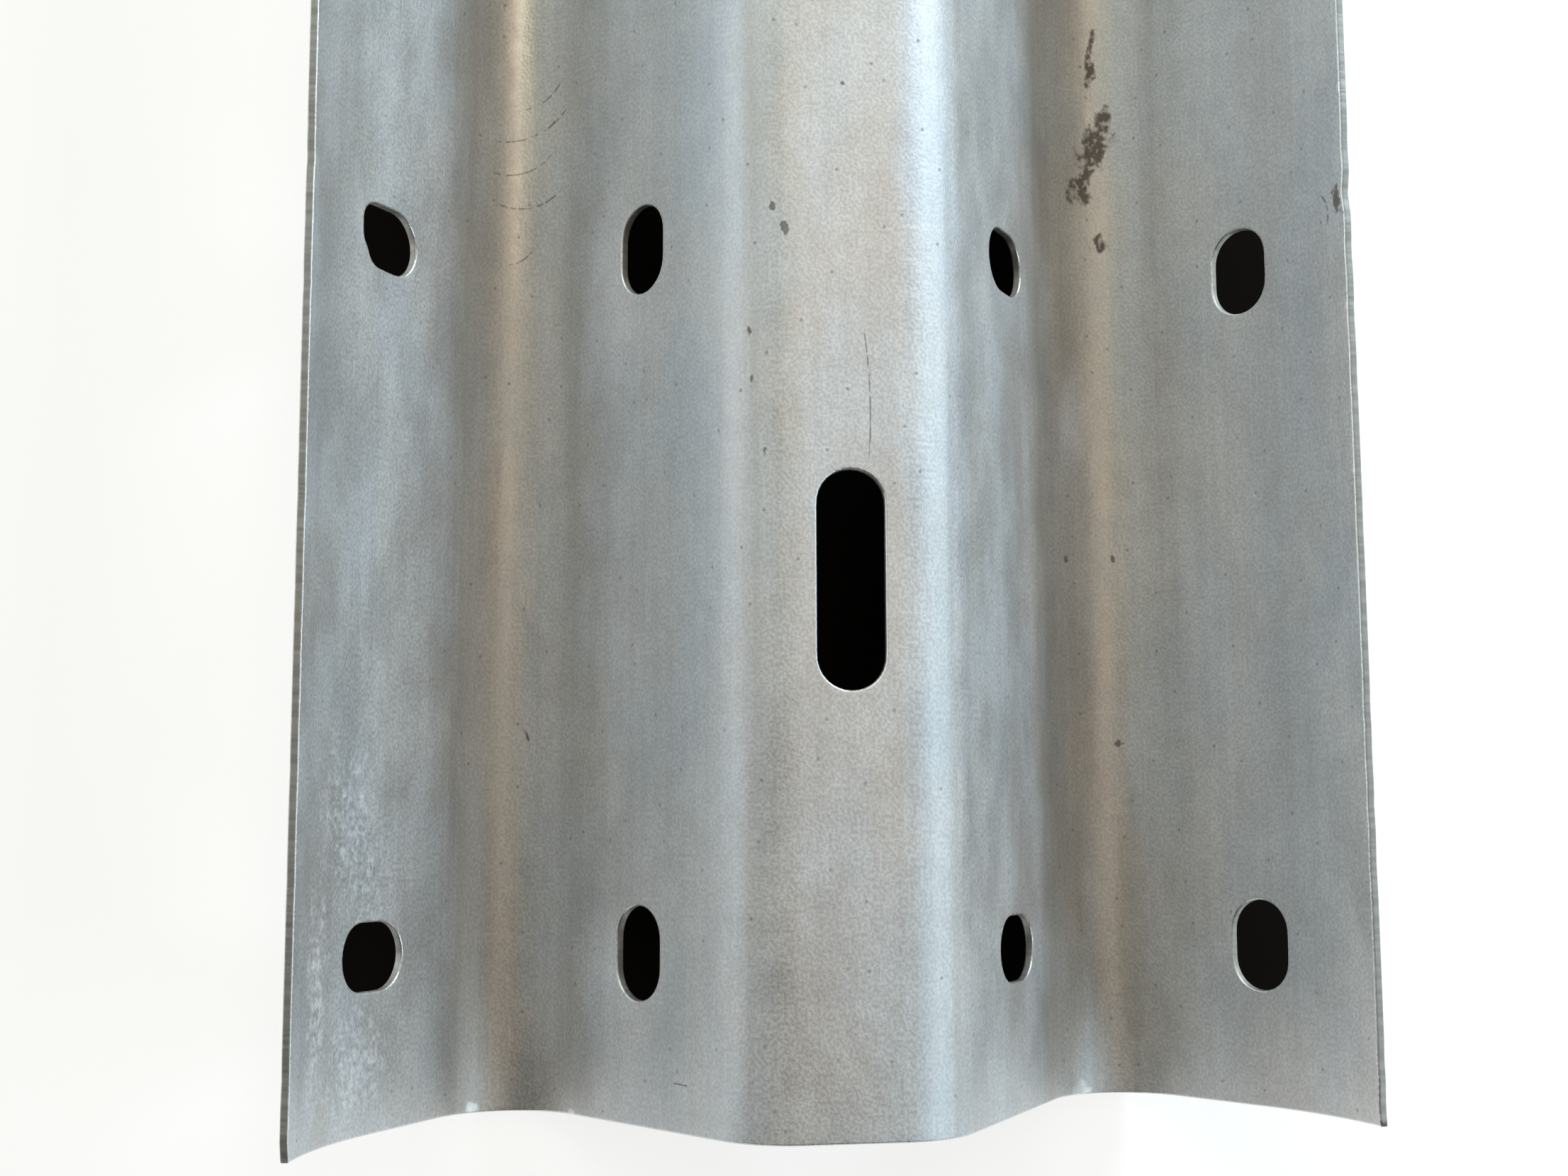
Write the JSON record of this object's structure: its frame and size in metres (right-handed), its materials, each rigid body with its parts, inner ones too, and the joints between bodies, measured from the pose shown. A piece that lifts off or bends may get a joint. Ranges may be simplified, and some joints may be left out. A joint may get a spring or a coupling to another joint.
{
  "type": "guardrail rail panel",
  "caption": "W-section steel crash barrier panel with two rounded crests, a central ridge, edges curled gently upright, and slots for posts and lapped end joints.",
  "frame": {"origin": "middle of the panel's length, midway between its two crests, on the plane the crests touch", "axes": "+X along the panel, away from the end that is seen; +Y to its left side; +Z from the crests (traffic side) towards the ridge (post side)"},
  "size_m": [4.128, 0.312, 0.0829],
  "materials": {
    "zinc": "hot-dip galvanised zinc, dull grey with soft mottling and light scuffs"
  },
  "bodies": {
    "root": {"rail": "zinc"}
  },
  "joints": []
}
